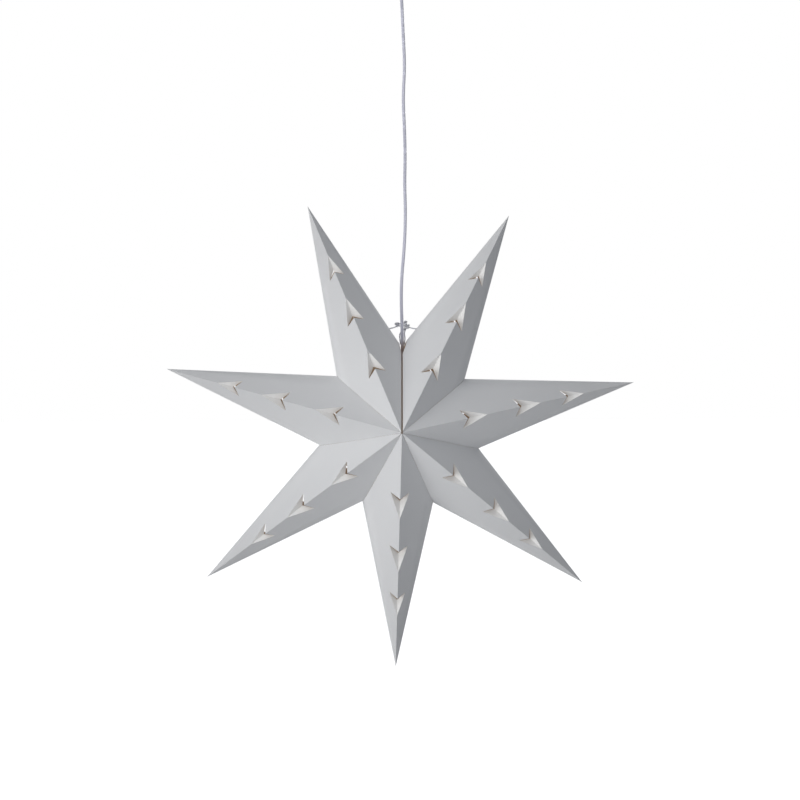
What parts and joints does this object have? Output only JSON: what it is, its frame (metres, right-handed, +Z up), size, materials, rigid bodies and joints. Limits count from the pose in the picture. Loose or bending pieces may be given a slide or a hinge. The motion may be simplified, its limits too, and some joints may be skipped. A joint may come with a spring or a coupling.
{
  "type": "paper star pendant lamp",
  "caption": "Folded paper star with pierced hollow arms, hung on a twisted cord from a ceiling cup, with a lampholder and a round bulb inside.",
  "frame": {"origin": "middle of the ceiling plate's top face, where the lamp meets the ceiling", "axes": "+Z up, out of the ceiling face and along the cord; the star faces -Y, its arms spread in X and Z"},
  "size_m": [0.6042, 0.1434, 1.021],
  "materials": {
    "card": "matt white card",
    "string": "thin grey cotton string",
    "cord_sheath": "pale grey-white flat twin cord, twisted",
    "holder_plastic": "white moulded plastic",
    "nylon": "natural nylon",
    "ceramic": "cream ceramic",
    "nickel": "nickel-plated sleeve",
    "brass": "brass",
    "steel": "zinc-plated steel",
    "core_brown": "brown insulation",
    "core_blue": "blue insulation",
    "black_glass": "black vitreous insulator",
    "opal_glass": "opal white glass",
    "board": "white circuit board with small light chips",
    "block_plastic": "natural moulded plastic",
    "cup_plastic": "white moulded plastic"
  },
  "bodies": {
    "ceiling_fitting": {"ceiling_plate": "steel", "plate_staple": "steel", "cord_hook": "steel", "clamp_front": "holder_plastic", "clamp_back": "holder_plastic", "clamp_screw_left": "steel", "clamp_screw_right": "steel", "terminal_block": "block_plastic", "block_screw_left": "brass", "block_screw_right": "brass", "block_fixing_screw": "steel", "ceiling_core_left": "core_brown", "ceiling_core_right": "core_blue", "cord_upper": "cord_sheath"},
    "cup": {"ceiling_cup": "cup_plastic", "cup_bush": "cup_plastic", "cup_nut": "cup_plastic", "cup_set_screw": "nylon"},
    "cord": {"cord_drop": "cord_sheath", "holder_cap": "holder_plastic", "holder_grub_screw": "nylon", "holder_relief": "holder_plastic", "holder_skirt": "holder_plastic", "holder_insert": "ceramic", "holder_shell": "nickel", "holder_contact": "brass", "holder_terminal_left": "brass", "holder_screw_left": "steel", "holder_core_left": "core_brown", "holder_terminal_right": "brass", "holder_screw_right": "steel", "holder_core_right": "core_blue"},
    "star": {"arm_1_top_right": "card", "arm_2_right": "card", "arm_3_lower_right": "card", "arm_4_bottom": "card", "arm_5_lower_left": "card", "arm_6_left": "card", "arm_7_top_left": "card", "tie_wrap": "string", "string_left": "string", "knot_left": "string", "string_right": "string", "knot_right": "string", "string_tail": "string"},
    "bulb": {"bulb_contact": "steel", "bulb_insulator": "black_glass", "bulb_screw_cap": "nickel", "bulb_collar": "holder_plastic", "bulb_globe": "opal_glass", "bulb_led_board": "board"}
  },
  "joints": [
    {"name": "cup_slide", "type": "slide", "parent": "ceiling_fitting", "child": "cup", "axis": [0, 0, -1], "range_m": [0, 0.05]},
    {"name": "pendant_swing", "type": "hinge", "parent": "ceiling_fitting", "child": "cord", "pos_m": [0.00045, 0.0001, -0.135], "axis": [0, 1, 0], "range_deg": [-10, 10]},
    {"name": "star_turn", "type": "hinge", "parent": "cord", "child": "star", "pos_m": [0.0038, 0, -0.58], "axis": [0, 0, 1], "range_deg": [-180, 180]},
    {"name": "bulb_out", "type": "slide", "parent": "cord", "child": "bulb", "axis": [0, 0, -1], "range_m": [0, 0.03]}
  ]
}
